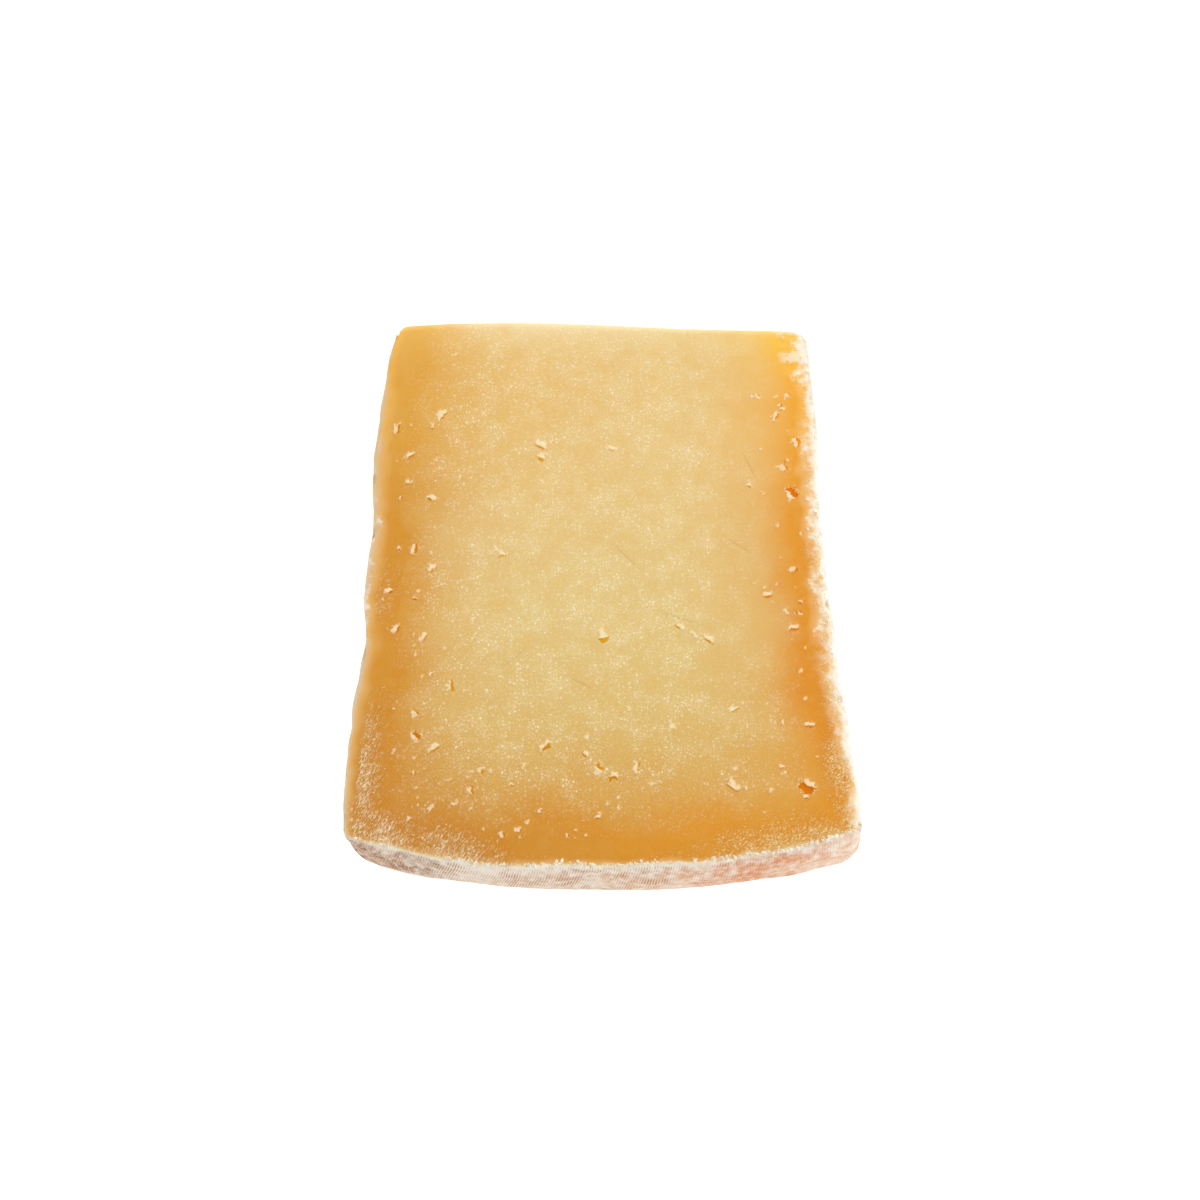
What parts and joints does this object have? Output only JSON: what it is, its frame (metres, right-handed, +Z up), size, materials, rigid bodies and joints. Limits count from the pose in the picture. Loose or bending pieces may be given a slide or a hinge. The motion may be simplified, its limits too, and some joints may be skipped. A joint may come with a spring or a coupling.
{
  "type": "sheep milk cheese wedge",
  "caption": "Wedge of aged sheep milk cheese lying on a cut face, with a curved rind heel, a thin nose and small irregular openings in the straw-yellow paste.",
  "frame": {"origin": "centre of the bounding box at the resting cut face", "axes": "+Y from the rind heel towards the thin nose, +Z up from the resting cut face, +X along the wheel's axis to the right"},
  "size_m": [0.11, 0.1298, 0.0551],
  "materials": {
    "paste": "cut cheese paste, satin, slightly translucent, browner towards the rind"
  },
  "bodies": {
    "root": {"cheese_wedge": "paste"}
  },
  "joints": []
}
